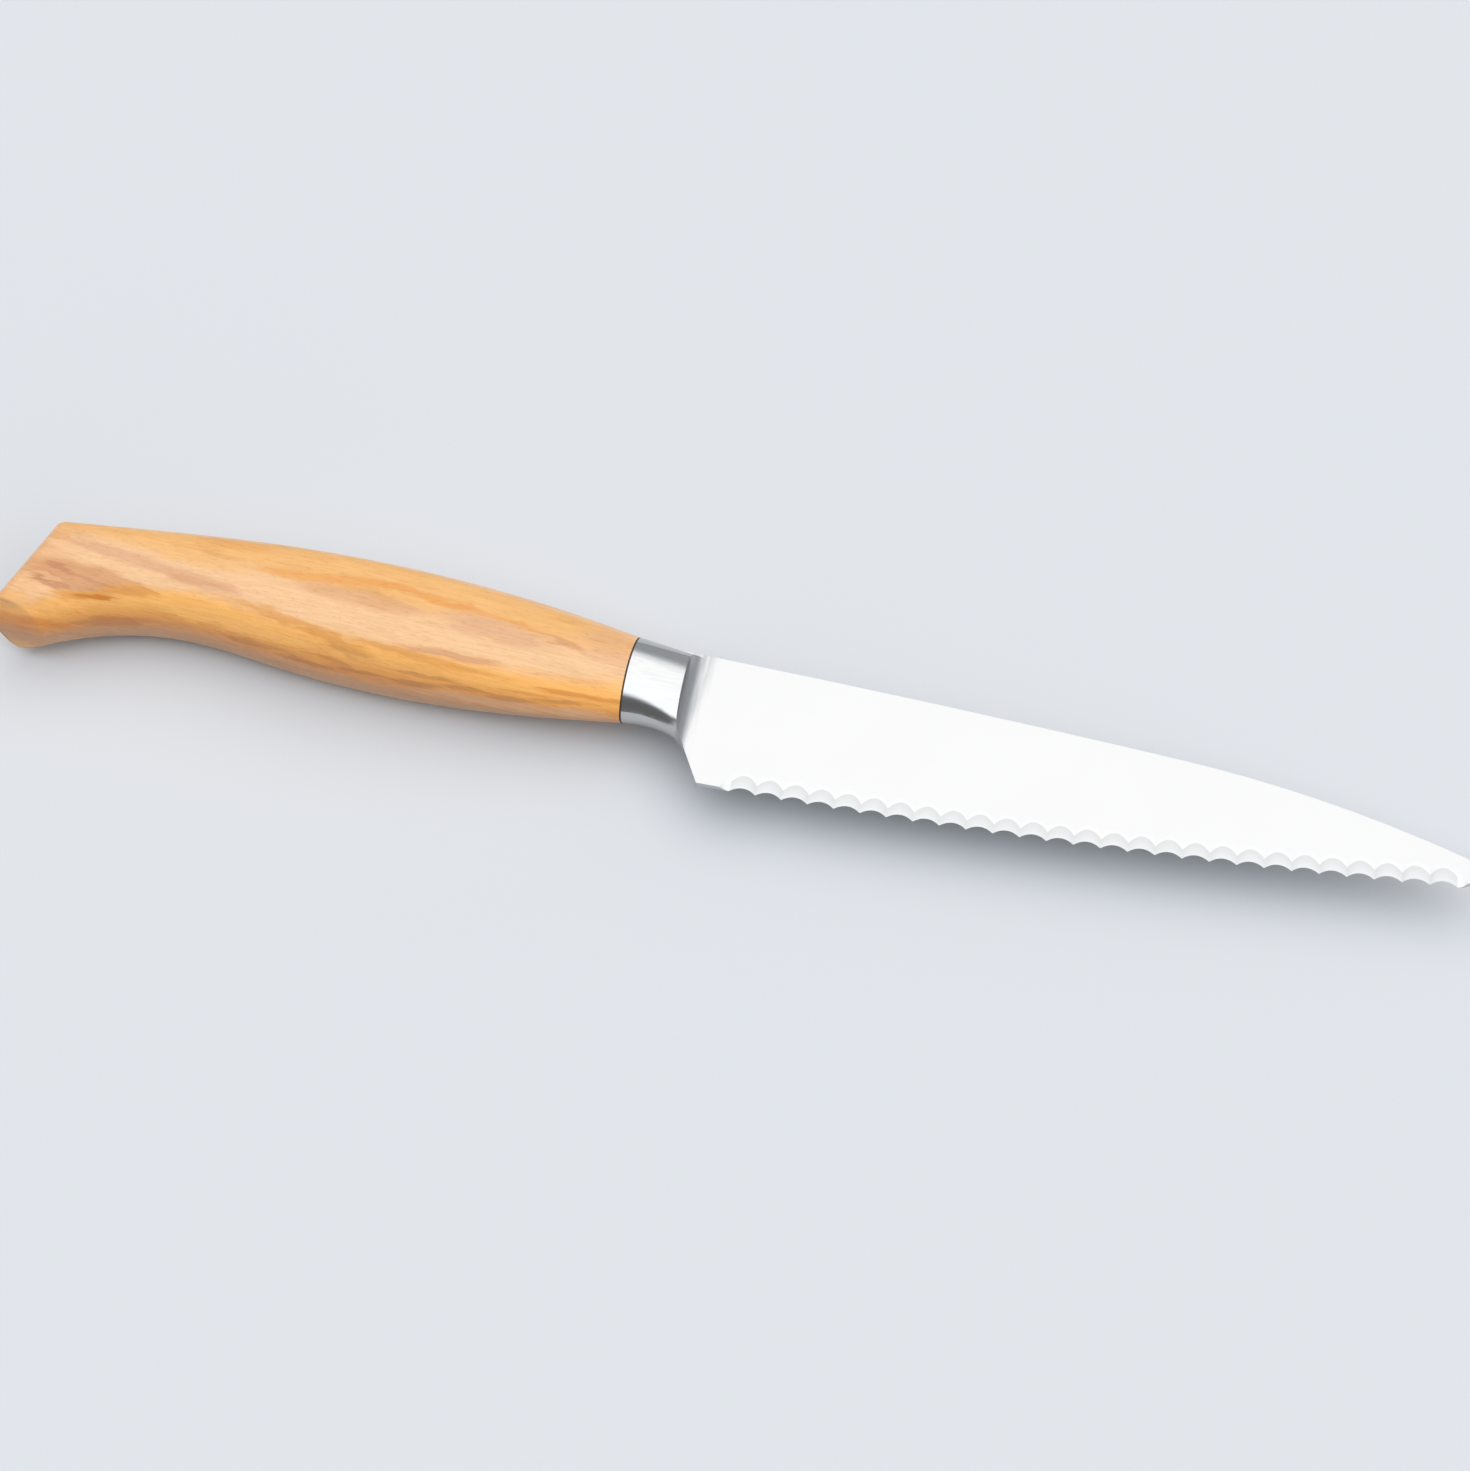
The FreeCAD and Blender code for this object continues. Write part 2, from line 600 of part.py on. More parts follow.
def handle_blank():
    """One block of wood, lofted through its sections and cut to the two butt faces."""
    body = new_body("handle_blank")
    sections = [joint_section(body, "handle_front", WOOD_FACE)]
    for index, (along, spine, belly, thick, slab) in enumerate(HANDLE_STATION_SHARES, start=1):
        sections.append(rounded_section(
            body, f"handle_{index}", f"{WOOD_FACE} - sizes.handle_length * {along}",
            f"sizes.palm_height * {spine}", f"sizes.palm_height * {belly}",
            f"sizes.palm_thickness * {thick}", blend(JOINT_ARC_SHARES, PALM_ARC_SHARES, slab),
        ))
    loft(body, "handle_block", sections)
    nose = f"{WOOD_FACE} - sizes.handle_length"
    butt_crown(body, nose)
    base = (body.Tip, butt_edges(body))
    rim = body.newObject("PartDesign::Fillet", "butt_rim")
    rim.Base = base
    rim.setExpression("Radius", "sizes.butt_rim_radius")
    reach = "(2 * sizes.palm_height)"
    beak = new_sketch(body, "beak_outline", "XY_Plane")
    below = f"-sizes.nose_drop - {reach} * tan(sizes.beak_angle)"
    polygon(beak, [
        (nose, "-sizes.nose_drop"),
        (f"{nose} - {reach}", "-sizes.nose_drop"),
        (f"{nose} - {reach}", below),
        (f"{nose} + {reach}", below),
    ])
    pocket(body, "beak", beak, THROUGH)
    return body


def cut(name, base, tool):
    piece = doc.addObject("Part::Cut", name)
    piece.Base = base
    piece.Tool = tool
    piece.Label = name
    return piece


blade = make_blade()
bed = cement_bed()
blank = handle_blank()
doc.recompute()
handle = cut("handle", blank, bed)
cement = cut("tang_cement", bed, blade)
doc.recompute()

for item in doc.Objects:
    if "Invalid" in item.State or "Error" in item.State:
        raise RuntimeError(f"{item.Name} failed: {item.getStatusString()}")

os.makedirs("parts", exist_ok=True)
for piece in (blade, handle, cement):
    if piece.Shape.isNull() or not piece.Shape.isValid() or len(piece.Shape.Solids) != 1:
        raise RuntimeError(f"{piece.Label} is not one valid solid")
    print(piece.Label, round(piece.Shape.Volume, 1), piece.Shape.BoundBox)
    piece.Shape.exportStep(f"parts/{piece.Label}.step")
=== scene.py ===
import math

import bpy
from mathutils import Matrix, Vector

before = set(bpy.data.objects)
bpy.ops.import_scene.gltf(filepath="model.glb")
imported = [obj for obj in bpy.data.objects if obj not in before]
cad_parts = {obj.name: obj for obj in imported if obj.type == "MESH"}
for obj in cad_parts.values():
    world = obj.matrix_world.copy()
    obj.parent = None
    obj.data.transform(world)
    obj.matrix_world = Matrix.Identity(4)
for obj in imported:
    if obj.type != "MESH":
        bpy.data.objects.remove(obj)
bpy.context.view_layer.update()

scene = bpy.context.scene

# Camera: viewing angles in degrees, lengths in metres.
VIEW_AZIMUTH = 11.182
VIEW_ELEVATION = 53.998
VIEW_ROLL = -1.683
VIEW_TARGET = Vector((0.009494, -0.008290, 0.0))
VIEW_DISTANCE = 0.42957
LENS_MM = 65.68
SENSOR_MM = 36.0

# Floor: level, under the handle's lower cheek, and wide enough to reach the horizon. Metres.
FLOOR_HEIGHT = -0.00857
FLOOR_SIZE = 60.0

# Studio light: levels of the soft box overhead, of the dim room around it and of the lights in the room.
BOX_LEVEL = 1.80
BOX_FRONT_GAIN = 0.15
ROOM_LEVEL = 0.18
ROOM_BEHIND_GAIN = 0.32
STRIP_LEVEL = 2.05
WING_LEVEL = 2.20
FAR_LEFT_LEVEL = 0.70

# Tints of the light, as linear colours.
WHITE = (1.0, 1.0, 1.0, 1.0)
BOX_FRONT_TINT = (0.95, 1.0, 1.06, 1.0)
BEHIND_TINT = (0.95, 1.0, 1.05, 1.0)
STRIP_TINT = (0.80, 0.94, 1.04, 1.0)
WING_TINT = (0.80, 1.0, 1.20, 1.0)

# Arc that the scalloped edge follows: its centre on the blade plane and its radius. Metres.
EDGE_CENTRE = (0.067, 0.9294)
EDGE_RADIUS = 0.950
SCALLOP_PITCH = 0.0042
SCALLOPS_EACH_WAY = 13

# Hollows of the scallops' painted shade: height of their arches at the crown, their fall with the
# square of the distance from the crown in pitches, and the depth over which the grey fades. Metres.
ARCH_CROWN = 0.0031
ARCH_FALL = 0.0058
HOLLOW_FADE = 0.0030

# Direction of the wood's grain in the picture plane, in degrees below the camera's right.
GRAIN_FALL = 14.0

# Tones of olive wood, also used for painted light and shade, as 8-bit display values.
CREAM = (228, 182, 136)
PINK = (213, 163, 123)
TAN = (203, 147, 102)
HONEY = (226, 171, 106)
GOLD = (250, 184, 103)
AMBER = (246, 179, 100)
ORANGE = (219, 152, 79)
RUST = (202, 120, 42)
BROWN = (175, 113, 64)
UMBER = (176, 118, 80)

# Tones that darken the wood: in patches, along its fibres, towards the butt and in its pores.
PATCH_TONE = (0.86, 0.80, 0.70, 1.0)
FIBRE_TONE = (0.84, 0.78, 0.68, 1.0)
BUTT_TONE = (0.95, 0.87, 0.78, 1.0)
PORE_TONE = (0.85, 0.74, 0.58, 1.0)

# Figure of the wood: spindle-shaped streaks; the first is partly and the last wholly painted light. Each
# has its middle along and across the grain, its tilt as rise over run, its half length and half width in
# millimetres, its tone and strength.
STREAKS = [
    # Partly painted light: this gold streak brightens the band where the upper cheek turns towards the
    # belly.
    (-77.0, -7.2, -0.02, 20.0, 2.2, GOLD, 0.90),
    (-88.0, 1.4, -0.02, 15.0, 1.5, HONEY, 0.75),
    (-104.0, 2.4, 0.00, 10.0, 1.8, HONEY, 0.85),
    (-78.0, 4.6, 0.08, 8.0, 0.8, ORANGE, 0.45),
    (-108.0, -0.4, -0.05, 3.5, 0.7, ORANGE, 0.60),
    (-98.0, -1.2, -0.03, 13.0, 1.0, PINK, 0.95),
    (-86.0, -2.1, -0.06, 14.0, 1.5, PINK, 0.95),
    (-82.0, -2.6, -0.01, 8.0, 0.5, TAN, 0.60),
    (-100.0, -3.0, -0.08, 10.0, 0.8, CREAM, 0.95),
    (-90.0, -4.0, -0.04, 7.0, 0.9, CREAM, 0.90),
    (-103.0, -6.7, -0.06, 9.0, 3.1, TAN, 1.00),
    (-96.5, -5.7, -0.05, 7.0, 1.9, TAN, 0.90),
    (-105.0, -5.6, -0.22, 3.2, 0.6, UMBER, 0.65),
    (-99.0, -6.6, -0.20, 5.0, 0.5, UMBER, 0.40),
    (-106.5, -8.2, -0.20, 5.0, 0.6, UMBER, 0.60),
    (-107.0, -7.6, -0.20, 2.6, 0.4, CREAM, 0.50),
    (-101.2, -9.5, 0.13, 5.8, 0.7, ORANGE, 0.95),
    (-98.0, -9.0, 0.12, 2.6, 0.5, RUST, 0.90),
    (-92.8, -6.5, 0.12, 5.0, 1.2, ORANGE, 0.85),
    (-96.2, -7.6, 0.30, 3.2, 0.7, ORANGE, 0.80),
    (-68.0, -4.6, -0.12, 9.0, 0.9, ORANGE, 0.75),
    (-58.0, -6.4, -0.18, 8.0, 1.0, ORANGE, 0.70),
    (-54.0, -7.8, -0.25, 4.0, 0.6, BROWN, 0.20),
    (-47.5, -5.5, 0.02, 7.5, 0.7, ORANGE, 0.75),
    (-37.5, -4.2, 0.05, 9.0, 0.8, TAN, 0.80),
    (-38.0, -5.8, 0.04, 10.0, 0.6, ORANGE, 0.60),
    (-66.0, 2.5, 0.09, 9.0, 0.9, ORANGE, 0.70),
    (-57.0, 3.9, 0.10, 8.0, 1.0, ORANGE, 0.80),
    (-49.5, 4.5, 0.00, 8.0, 0.8, ORANGE, 0.95),
    (-40.0, 3.7, -0.04, 9.0, 0.8, ORANGE, 1.00),
    (-29.0, 3.4, -0.04, 7.0, 0.6, ORANGE, 0.75),
    (-21.5, 2.2, -0.18, 5.0, 0.7, TAN, 0.90),
    (-55.0, 1.3, 0.02, 13.0, 1.5, TAN, 0.60),
    (-32.0, 1.4, -0.04, 11.0, 2.1, PINK, 0.95),
    (-13.0, 1.0, 0.00, 6.0, 2.0, PINK, 0.60),
    (-45.0, -1.7, -0.03, 22.0, 1.3, CREAM, 0.60),
    (-18.0, -0.5, 0.08, 8.0, 0.9, CREAM, 0.90),
    (-29.0, -9.9, 0.085, 17.0, 0.9, PINK, 0.70),
    (-95.5, -12.3, 0.26, 7.0, 0.9, BROWN, 0.60),
    (-70.0, -10.1, 0.00, 7.0, 0.5, BROWN, 0.40),
    (-61.0, -10.9, -0.02, 6.0, 0.5, BROWN, 0.60),
    (-57.0, -9.6, -0.06, 5.0, 0.3, BROWN, 0.45),
    (-52.0, -10.2, 0.03, 5.0, 0.4, BROWN, 0.55),
    (-44.0, -10.2, 0.05, 5.0, 0.5, BROWN, 0.60),
    (-42.0, -8.6, 0.02, 6.0, 0.3, BROWN, 0.40),
    (-35.0, -9.0, 0.08, 5.0, 0.4, BROWN, 0.50),
    (-27.0, -8.8, 0.10, 5.0, 0.4, BROWN, 0.55),
    (-24.0, -7.2, 0.08, 5.0, 0.3, RUST, 0.40),
    (-18.0, -7.2, 0.14, 6.0, 0.4, BROWN, 0.50),
    (-14.0, -8.4, 0.10, 7.0, 1.0, PINK, 0.60),
    (-13.0, 3.6, -0.05, 7.0, 2.4, PINK, 0.50),
    (-16.0, -5.6, 0.06, 8.0, 0.7, RUST, 0.60),
    (-106.5, -15.2, 0.10, 7.0, 0.8, RUST, 0.50),
    # Painted light: this warm streak on the beak corner evens out the shading of the facet's crease and
    # a grey reflection beside it.
    (-111.0, -12.6, 0.00, 4.5, 1.5, HONEY, 0.70),
]


def srgb(red, green, blue):
    """A linear colour from 8-bit display values."""
    def linear(level):
        share = level / 255
        return share / 12.92 if share <= 0.04045 else ((share + 0.055) / 1.055) ** 2.4
    return (linear(red), linear(green), linear(blue), 1.0)


def camera_axes():
    """The camera's right, up and back directions, rolled about the line of sight."""
    azimuth, elevation, roll = map(math.radians, (VIEW_AZIMUTH, VIEW_ELEVATION, VIEW_ROLL))
    back = Vector((
        math.sin(azimuth) * math.cos(elevation),
        -math.cos(azimuth) * math.cos(elevation),
        math.sin(elevation),
    ))
    level = Vector((math.cos(azimuth), math.sin(azimuth), 0.0))
    upright = back.cross(level)
    right = level * math.cos(roll) + upright * math.sin(roll)
    up = upright * math.cos(roll) - level * math.sin(roll)
    return right, up, back


def add_camera():
    right, up, back = camera_axes()
    data = bpy.data.cameras.new("camera")
    data.lens = LENS_MM
    data.sensor_width = SENSOR_MM
    data.sensor_fit = "HORIZONTAL"
    data.clip_start = 0.01
    data.clip_end = 100.0
    camera = bpy.data.objects.new("camera", data)
    turn = Matrix((right, up, back)).transposed()
    camera.matrix_world = Matrix.Translation(VIEW_TARGET + back * VIEW_DISTANCE) @ turn.to_4x4()
    scene.collection.objects.link(camera)
    scene.camera = camera


class Nodes:
    """Small helper that adds linked shader nodes to a node tree."""

    def __init__(self, tree):
        self.tree = tree

    def add(self, kind, inputs=None, **settings):
        node = self.tree.nodes.new(kind)
        for name, setting in settings.items():
            setattr(node, name, setting)
        for name, source in (inputs or {}).items():
            self.feed(node.inputs[name], source)
        return node

    def feed(self, socket, source):
        if isinstance(source, bpy.types.NodeSocket):
            self.tree.links.new(source, socket)
        else:
            socket.default_value = source

    def math(self, operation, *sources, clamp=False):
        node = self.add("ShaderNodeMath", operation=operation, use_clamp=clamp)
        for socket, source in zip(node.inputs, sources):
            self.feed(socket, source)
        return node.outputs[0]

    def product(self, first, *others):
        for other in others:
            first = self.math("MULTIPLY", first, other)
        return first

    def vector(self, operation, *sources):
        node = self.add("ShaderNodeVectorMath", operation=operation)
        for socket, source in zip(node.inputs, sources):
            self.feed(socket, source)
        return node.outputs["Value" if operation in ("DOT_PRODUCT", "LENGTH") else "Vector"]

    def mix(self, factor, first, second, blend="MIX"):
        node = self.add("ShaderNodeMix", data_type="RGBA", blend_type=blend)
        self.feed(node.inputs["Factor"], factor)
        self.feed(node.inputs[6], first)
        self.feed(node.inputs[7], second)
        return node.outputs[2]

    def step(self, source, start, end, low=0.0, high=1.0):
        """A smooth step from low to high as the source goes from start to end."""
        node = self.add("ShaderNodeMapRange", interpolation_type="SMOOTHSTEP", inputs={
            "Value": source, "From Min": start, "From Max": end, "To Min": low, "To Max": high,
        })
        return node.outputs["Result"]

    def noise(self, vector, scale, detail=2.0, roughness=0.5, **settings):
        node = self.add("ShaderNodeTexNoise", inputs={
            "Vector": vector, "Scale": scale, "Detail": detail, "Roughness": roughness,
        }, **settings)
        return node.outputs["Fac"]

    def scaled(self, vector, scale):
        node = self.add("ShaderNodeMapping", inputs={"Vector": vector, "Scale": scale})
        return node.outputs["Vector"]


def new_material(name):
    material = bpy.data.materials.new(name)
    material.use_nodes = True
    material.node_tree.nodes.clear()
    return material, Nodes(material.node_tree)


def dress(node_name, material):
    """Gives a CAD node one material."""
    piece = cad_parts[node_name]
    piece.data.materials.clear()
    piece.data.materials.append(material)


def soft_box(nodes, side, depth, height):
    """How far a direction is in the soft box overhead, and in the front half of it."""
    rise = nodes.math("MAXIMUM", height, 0.05)
    ahead = nodes.math("DIVIDE", depth, rise)
    aside = nodes.math("ABSOLUTE", nodes.math("DIVIDE", side, rise))
    front_edge = nodes.step(ahead, -1.16, -0.60)
    back_edge = nodes.step(ahead, 2.20, 0.80)
    spread = nodes.math("MULTIPLY_ADD", ahead, 0.45, aside)
    side_edge = nodes.step(spread, 1.35, 0.85)
    return nodes.product(front_edge, back_edge, side_edge), nodes.step(ahead, 0.50, -0.60)


def add_world():
    """A soft box in a dim room, with a low strip and a cool wing at the front right."""
    world = bpy.data.worlds.new("studio")
    world.use_nodes = True
    world.node_tree.nodes.clear()
    nodes = Nodes(world.node_tree)
    direction = nodes.add("ShaderNodeTexCoord").outputs["Generated"]
    axes = nodes.add("ShaderNodeSeparateXYZ", inputs={"Vector": direction})
    side, depth, height = (axes.outputs[name] for name in "XYZ")
    box, box_front = soft_box(nodes, side, depth, height)
    behind = nodes.step(depth, -0.85, 0.55)
    in_front = nodes.step(depth, 0.0, -0.35)
    strip = nodes.product(in_front, nodes.step(height, 0.38, 0.10), nodes.step(side, 0.06, 0.28))
    wing = nodes.product(in_front, nodes.step(side, 0.30, 0.55), nodes.step(height, 0.25, 0.40))
    far_left = nodes.step(side, -0.80, -0.96)

    room = nodes.math("MULTIPLY_ADD", behind, ROOM_BEHIND_GAIN, ROOM_LEVEL)
    for light, gain in ((strip, STRIP_LEVEL), (far_left, FAR_LEFT_LEVEL), (wing, WING_LEVEL)):
        room = nodes.math("MULTIPLY_ADD", light, gain, room)
    lamp = nodes.math("MULTIPLY_ADD", box_front, BOX_FRONT_GAIN, BOX_LEVEL)
    level = nodes.math("MULTIPLY_ADD", box, nodes.math("SUBTRACT", lamp, room), room)

    room_tint = WHITE
    for light, tint in ((behind, BEHIND_TINT), (strip, STRIP_TINT), (wing, WING_TINT)):
        room_tint = nodes.mix(light, room_tint, tint)
    colour = nodes.mix(box, room_tint, nodes.mix(box_front, WHITE, BOX_FRONT_TINT))
    background = nodes.add("ShaderNodeBackground", inputs={"Color": colour, "Strength": level})
    nodes.add("ShaderNodeOutputWorld", inputs={"Surface": background.outputs["Background"]})
    scene.world = world


def add_floor():
    """A plain pale board under the knife."""
    half = FLOOR_SIZE / 2
    corners = [(-half, -half), (half, -half), (half, half), (-half, half)]
    mesh = bpy.data.meshes.new("floor")
    mesh.from_pydata([(x, y, FLOOR_HEIGHT) for x, y in corners], [], [(0, 1, 2, 3)])
    floor = bpy.data.objects.new("floor", mesh)
    scene.collection.objects.link(floor)
    material, nodes = new_material("pale_board")
    place = nodes.add("ShaderNodeTexCoord").outputs["Object"]
    clouds = nodes.noise(place, 9.0, 3.0)
    specks = nodes.noise(place, 900.0, 2.0)
    tone = nodes.mix(clouds, srgb(203, 203, 204), srgb(201, 202, 204))
    bump = nodes.add("ShaderNodeBump", inputs={
        "Strength": 0.05, "Distance": 0.0002, "Height": specks,
    })
    board = nodes.add("ShaderNodeBsdfPrincipled", inputs={
        "Base Color": tone, "Roughness": 0.9, "Specular IOR Level": 0.1,
        "Normal": bump.outputs["Normal"],
    })
    nodes.add("ShaderNodeOutputMaterial", inputs={"Surface": board.outputs["BSDF"]})
    mesh.materials.append(material)


def scallop_painted_shade(nodes, place, past_cove):
    """Strength of the painted shade in the scallops' hollows, fading from their arches to the edge: a
    grey that stands in for their darker reflection.
    """
    out = nodes.vector("SUBTRACT", place, (*EDGE_CENTRE, 0.0))
    axes = nodes.add("ShaderNodeSeparateXYZ", inputs={"Vector": out})
    turn = nodes.math("ARCTAN2", axes.outputs["X"], nodes.math("MULTIPLY", axes.outputs["Y"], -1.0))
    reach = nodes.vector("LENGTH", nodes.vector("MULTIPLY", out, (1.0, 1.0, 0.0)))
    inside = nodes.math("SUBTRACT", EDGE_RADIUS, reach)
    count = nodes.math("MULTIPLY", turn, EDGE_RADIUS / SCALLOP_PITCH)
    off = nodes.math("SUBTRACT", nodes.math("FRACT", nodes.math("ADD", count, 100.5)), 0.5)
    arch = nodes.math("MULTIPLY_ADD", nodes.math("MULTIPLY", off, off), -ARCH_FALL, ARCH_CROWN)
    below = nodes.math("SUBTRACT", arch, inside)
    end = SCALLOPS_EACH_WAY + 0.5
    in_row = nodes.step(nodes.math("ABSOLUTE", count), end + 0.02, end - 0.04)
    shown = nodes.product(nodes.step(below, 0.0, 0.00025), in_row, past_cove)
    return nodes.math("MULTIPLY", shown, nodes.step(below, 0.0, HOLLOW_FADE, 1.0, 0.25))


def steel_material():
    """Satin-ground blade, polished bolster, a cove with grinding streaks along it, and painted shade in
    the scallops' hollows.
    """
    material, nodes = new_material("knife_steel")
    place = nodes.add("ShaderNodeTexCoord").outputs["Object"]
    axes = nodes.add("ShaderNodeSeparateXYZ", inputs={"Vector": place})
    along, up = axes.outputs["X"], axes.outputs["Y"]
    on_blade = nodes.step(along, 0.0, 0.0003)
    past_cove = nodes.step(nodes.math("MULTIPLY_ADD", up, -0.14, along), 0.0022, 0.0044)
    in_cove = nodes.math("SUBTRACT", on_blade, past_cove)
    hollow_painted_shade = scallop_painted_shade(nodes, place, past_cove)
    lines = nodes.noise(nodes.scaled(place, (2600.0, 60.0, 200.0)), 1.0, 3.0, 0.6)
    streaks = nodes.noise(nodes.scaled(place, (1500.0, 90.0, 300.0)), 1.0, 3.0, 0.65)
    strokes = nodes.noise(nodes.scaled(place, (90.0, 2400.0, 2400.0)), 1.0, 3.0, 0.6)
    smudges = nodes.noise(place, 60.0, 3.0)
    tone = nodes.mix(smudges, srgb(193, 193, 193), srgb(198, 198, 198))
    on_bolster = nodes.math("SUBTRACT", 1.0, on_blade)
    brushed = nodes.math("MULTIPLY", on_bolster, nodes.step(strokes, 0.40, 0.62))
    tone = nodes.mix(nodes.math("MULTIPLY", brushed, 0.16), tone, srgb(168, 169, 170))
    ground = nodes.math("MULTIPLY", in_cove, nodes.step(streaks, 0.26, 0.70))
    tone = nodes.mix(ground, tone, srgb(174, 174, 175))
    # Painted shade: a grey laid into the scallops' hollows for their darker reflection.
    tone = nodes.mix(hollow_painted_shade, tone, srgb(179, 177, 175))
    streaked = nodes.math("MULTIPLY", in_cove, streaks)
    rough = nodes.math("MULTIPLY_ADD", past_cove, 0.06, 0.16)
    rough = nodes.math("MULTIPLY_ADD", streaked, 0.45, rough)
    rough = nodes.math("MULTIPLY_ADD", smudges, 0.04, rough)
    height = nodes.math("MULTIPLY_ADD", lines, past_cove, streaked)
    height = nodes.math("MULTIPLY_ADD", brushed, 0.25, height)
    bump = nodes.add("ShaderNodeBump", inputs={
        "Strength": 0.04, "Distance": 0.0001, "Height": height,
    })
    steel = nodes.add("ShaderNodeBsdfPrincipled", inputs={
        "Base Color": tone, "Metallic": 1.0, "Roughness": rough, "Normal": bump.outputs["Normal"],
    })
    nodes.add("ShaderNodeOutputMaterial", inputs={"Surface": steel.outputs["BSDF"]})
    return material


def cement_material():
    """Dark cured cement that shows as the thin line between bolster and wood."""
    material, nodes = new_material("dark_cement")
    place = nodes.add("ShaderNodeTexCoord").outputs["Object"]
    grit = nodes.noise(place, 1800.0, 3.0)
    tone = nodes.mix(grit, srgb(38, 24, 16), srgb(70, 46, 32))
    cement = nodes.add("ShaderNodeBsdfPrincipled", inputs={"Base Color": tone, "Roughness": 0.7})
    nodes.add("ShaderNodeOutputMaterial", inputs={"Surface": cement.outputs["BSDF"]})
    return material


def grain_place(nodes):
    """Places in the wood in millimetres: along the grain, across it and in depth."""
    right, up, back = camera_axes()
    fall = math.radians(GRAIN_FALL)
    along = right * math.cos(fall) - up * math.sin(fall)
    across = right * math.sin(fall) + up * math.cos(fall)
    place = nodes.add("ShaderNodeTexCoord").outputs["Object"]
    parts = [nodes.vector("DOT_PRODUCT", place, axis * 1000) for axis in (along, across, back)]
    return place, nodes.add("ShaderNodeCombineXYZ", inputs=dict(zip("XYZ", parts))).outputs["Vector"]


def depth_tones_and_painted_light(nodes, place, ragged):
    """The wood's tones by depth from one side to the other, with painted light and shade in them, and
    how far a place is in the upper cheek.
    """
    axes = nodes.add("ShaderNodeSeparateXYZ", inputs={"Vector": place})
    toward_joint = nodes.step(axes.outputs["X"], -0.046, -0.0092, 0.0084, 0.0057)
    toward_butt = nodes.step(axes.outputs["X"], -0.125, -0.070, 0.0064, 0.0084)
    half = nodes.math("MINIMUM", toward_joint, toward_butt)
    depth = nodes.math("DIVIDE", axes.outputs["Z"], half)
    depth = nodes.math("ADD", depth, nodes.math("MULTIPLY", ragged, 0.16))
    ramp = nodes.add("ShaderNodeValToRGB", inputs={
        "Fac": nodes.math("MULTIPLY_ADD", depth, 0.5, 0.5),
    })
    # Tones by depth: the wood's own colour, with painted shade in the darker belly tones and painted
    # light in the bright amber band where the upper cheek turns.
    depth_tones_with_painted_light = [
        (0.03, CREAM), (0.20, (196, 154, 120)), (0.34, (192, 146, 112)), (0.44, (207, 147, 98)),
        (0.53, (218, 148, 84)), (0.64, (231, 159, 81)), (0.78, AMBER), (0.90, AMBER),
    ]
    stops = ramp.color_ramp.elements
    while len(stops) < len(depth_tones_with_painted_light):
        stops.new(0.5)
    for stop, (share, tone) in zip(stops, depth_tones_with_painted_light):
        stop.position = share
        stop.color = srgb(*tone)
    return ramp.outputs["Color"], nodes.step(depth, 0.70, 0.96)


def centred_noise(nodes, vector, scale, *settings):
    """Noise around zero, stretched by the scale."""
    return nodes.math("SUBTRACT", nodes.noise(nodes.scaled(vector, scale), 1.0, *settings), 0.5)


def add_streaks(nodes, tone, flat, fibres):
    """Lays the streaks of the figure over the wood's tone, with ragged outlines."""
    for middle, off, tilt, length, width, colour, strength in STREAKS:
        local = nodes.add("ShaderNodeMapping", vector_type="TEXTURE", inputs={
            "Vector": flat, "Location": (middle, off, 0.0),
            "Rotation": (0.0, 0.0, math.atan(tilt)), "Scale": (length, width, 1.0),
        }).outputs["Vector"]
        raggedness = min(1.9, 1.6 / width)
        reach = nodes.math("MULTIPLY_ADD", fibres, raggedness, nodes.vector("LENGTH", local))
        tone = nodes.mix(nodes.step(reach, 1.15, 0.50, 0.0, strength), tone, srgb(*colour))
    return tone


def eased_normal(nodes, length):
    """The surface's normal, with the creases around the butt eased."""
    eased = nodes.add("ShaderNodeBevel", samples=6, inputs={"Radius": 0.0009}).outputs["Normal"]
    plain = nodes.add("ShaderNodeNewGeometry").outputs["Normal"]
    facing = nodes.add("ShaderNodeMix", data_type="VECTOR")
    nodes.feed(facing.inputs["Factor"], nodes.step(length, -0.098, -0.103))
    nodes.feed(facing.inputs[4], plain)
    nodes.feed(facing.inputs[5], eased)
    return facing.outputs[1]


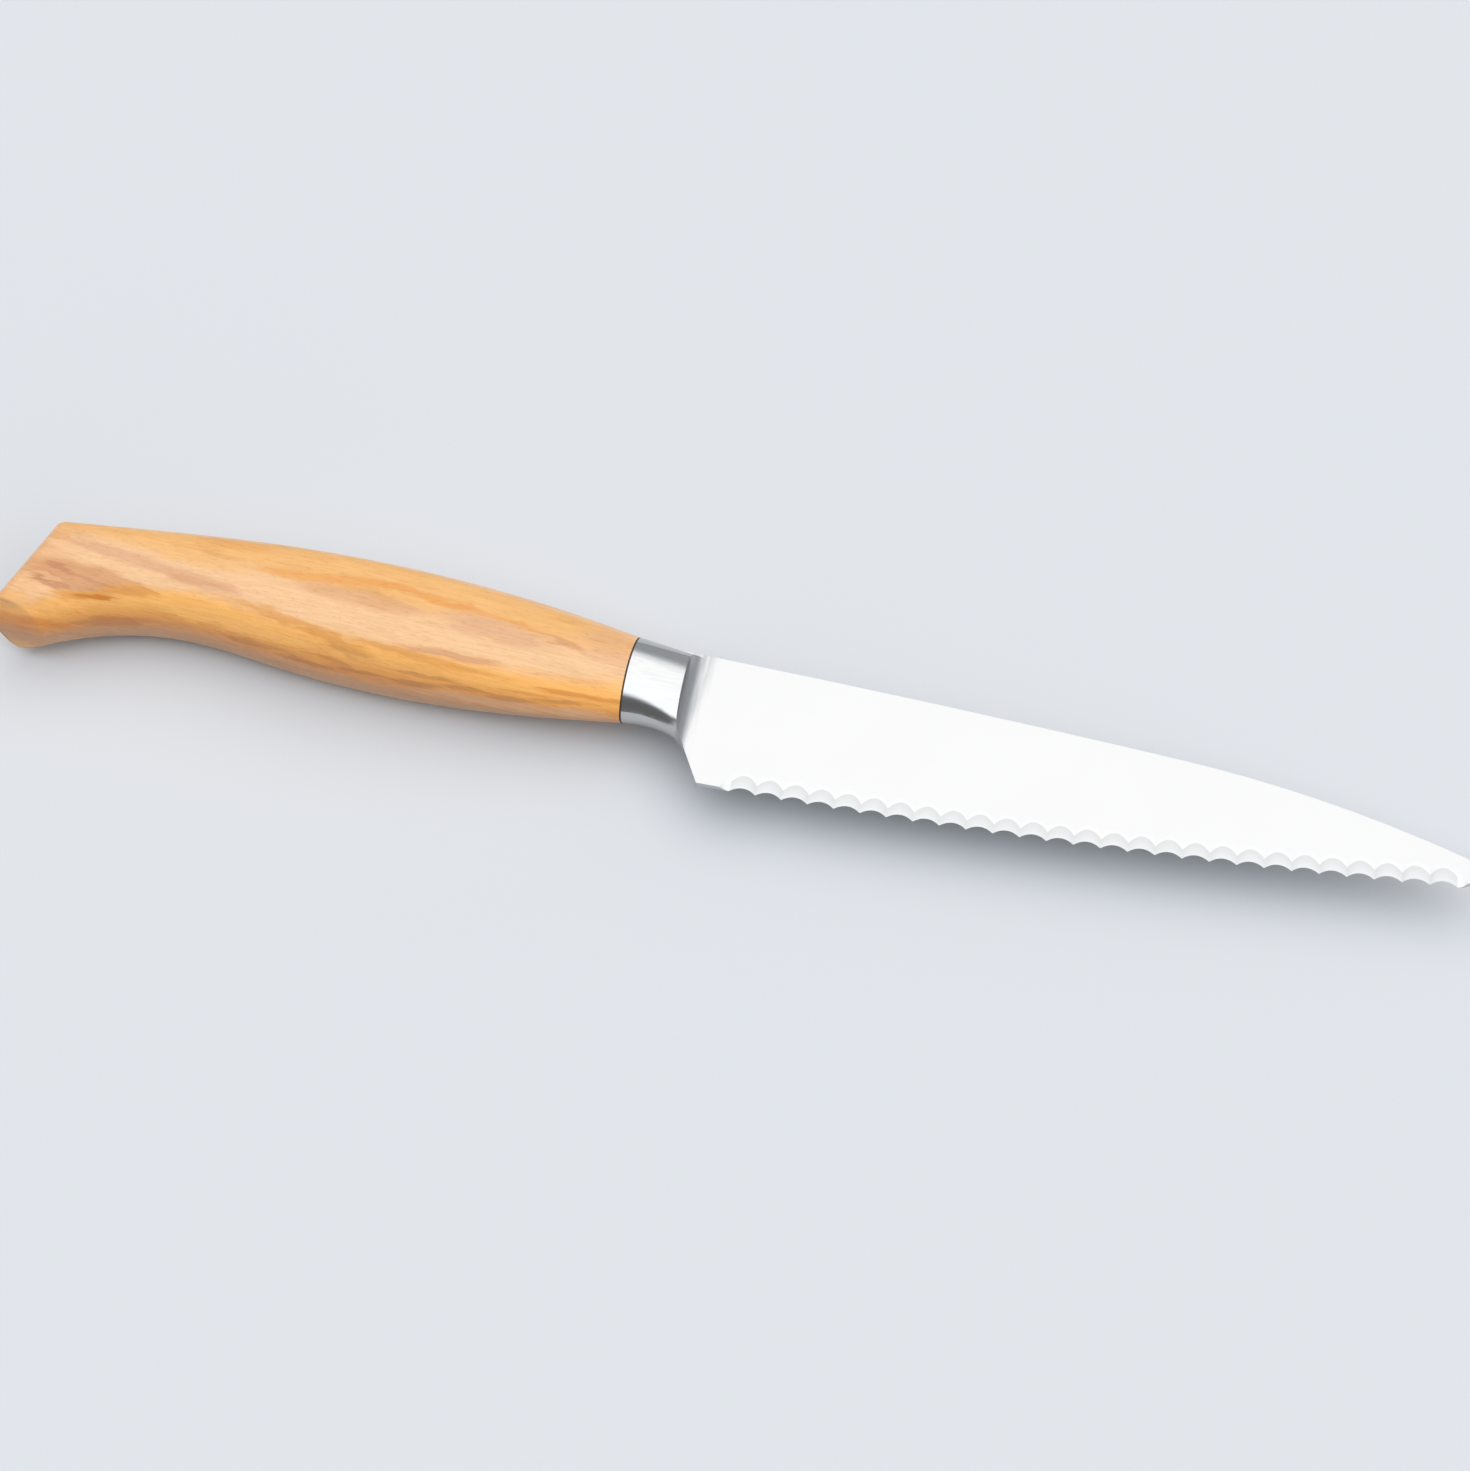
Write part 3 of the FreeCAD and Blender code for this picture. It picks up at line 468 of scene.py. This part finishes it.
def wood_material():
    """Oiled olive wood: tones by depth with painted light and shade, streaked figure and fine grain."""
    material, nodes = new_material("olive_wood")
    place, grain = grain_place(nodes)
    length = nodes.add("ShaderNodeSeparateXYZ", inputs={"Vector": place}).outputs["X"]
    wave = centred_noise(nodes, grain, (0.05, 0.30, 0.12), 2.0)
    ripple = centred_noise(nodes, grain, (0.20, 1.1, 0.4), 3.0)
    fibres = centred_noise(nodes, grain, (0.13, 2.8, 1.0), 4.0, 0.65)
    shift = nodes.math("MULTIPLY_ADD", ripple, 1.6, nodes.math("MULTIPLY", wave, 1.2))
    warped = nodes.vector("ADD", grain, nodes.add("ShaderNodeCombineXYZ", inputs={
        "X": nodes.math("MULTIPLY", ripple, 9.0), "Y": shift,
    }).outputs["Vector"])
    flat = nodes.vector("MULTIPLY", warped, (1.0, 1.0, 0.0))
    across = nodes.add("ShaderNodeSeparateXYZ", inputs={"Vector": warped}).outputs["Y"]
    toward_spine = nodes.step(across, 0.6, 3.0)

    depth_tones_with_painted_light, in_cheek = depth_tones_and_painted_light(nodes, place, ripple)
    depth_tones_with_painted_light = nodes.mix(toward_spine, depth_tones_with_painted_light, srgb(*CREAM))
    # The paler tone of the upper cheek is partly painted sheen.
    cheek = nodes.mix(toward_spine, srgb(*CREAM), srgb(*HONEY))
    tone = nodes.mix(in_cheek, depth_tones_with_painted_light, cheek)
    patches = nodes.noise(nodes.scaled(warped, (0.09, 0.60, 0.25)), 1.0, 4.0, 0.6)
    tone = nodes.mix(nodes.step(patches, 0.50, 0.72, 0.0, 0.75), tone, PATCH_TONE, "MULTIPLY")
    tone = add_streaks(nodes, tone, flat, fibres)
    tone = nodes.mix(nodes.step(fibres, -0.16, 0.18, 0.0, 0.50), tone, FIBRE_TONE, "MULTIPLY")
    tone = nodes.mix(nodes.step(length, -0.102, -0.116), tone, BUTT_TONE, "MULTIPLY")
    pores = nodes.noise(nodes.scaled(grain, (0.55, 4.6, 3.0)), 1.0, 2.0)
    tone = nodes.mix(nodes.step(pores, 0.56, 0.70, 0.0, 0.55), tone, PORE_TONE, "MULTIPLY")

    bump = nodes.add("ShaderNodeBump", inputs={
        "Strength": 0.06, "Distance": 0.0002, "Height": fibres, "Normal": eased_normal(nodes, length),
    })
    wood = nodes.add("ShaderNodeBsdfPrincipled", inputs={
        "Base Color": tone, "Roughness": nodes.math("MULTIPLY_ADD", fibres, 0.10, 0.40),
        "Specular IOR Level": 0.35, "Normal": bump.outputs["Normal"],
    })
    nodes.add("ShaderNodeOutputMaterial", inputs={"Surface": wood.outputs["BSDF"]})
    return material


add_camera()
add_world()
add_floor()
dress("blade", steel_material())
dress("tang_cement", cement_material())
dress("handle", wood_material())

scene.view_settings.view_transform = "Standard"
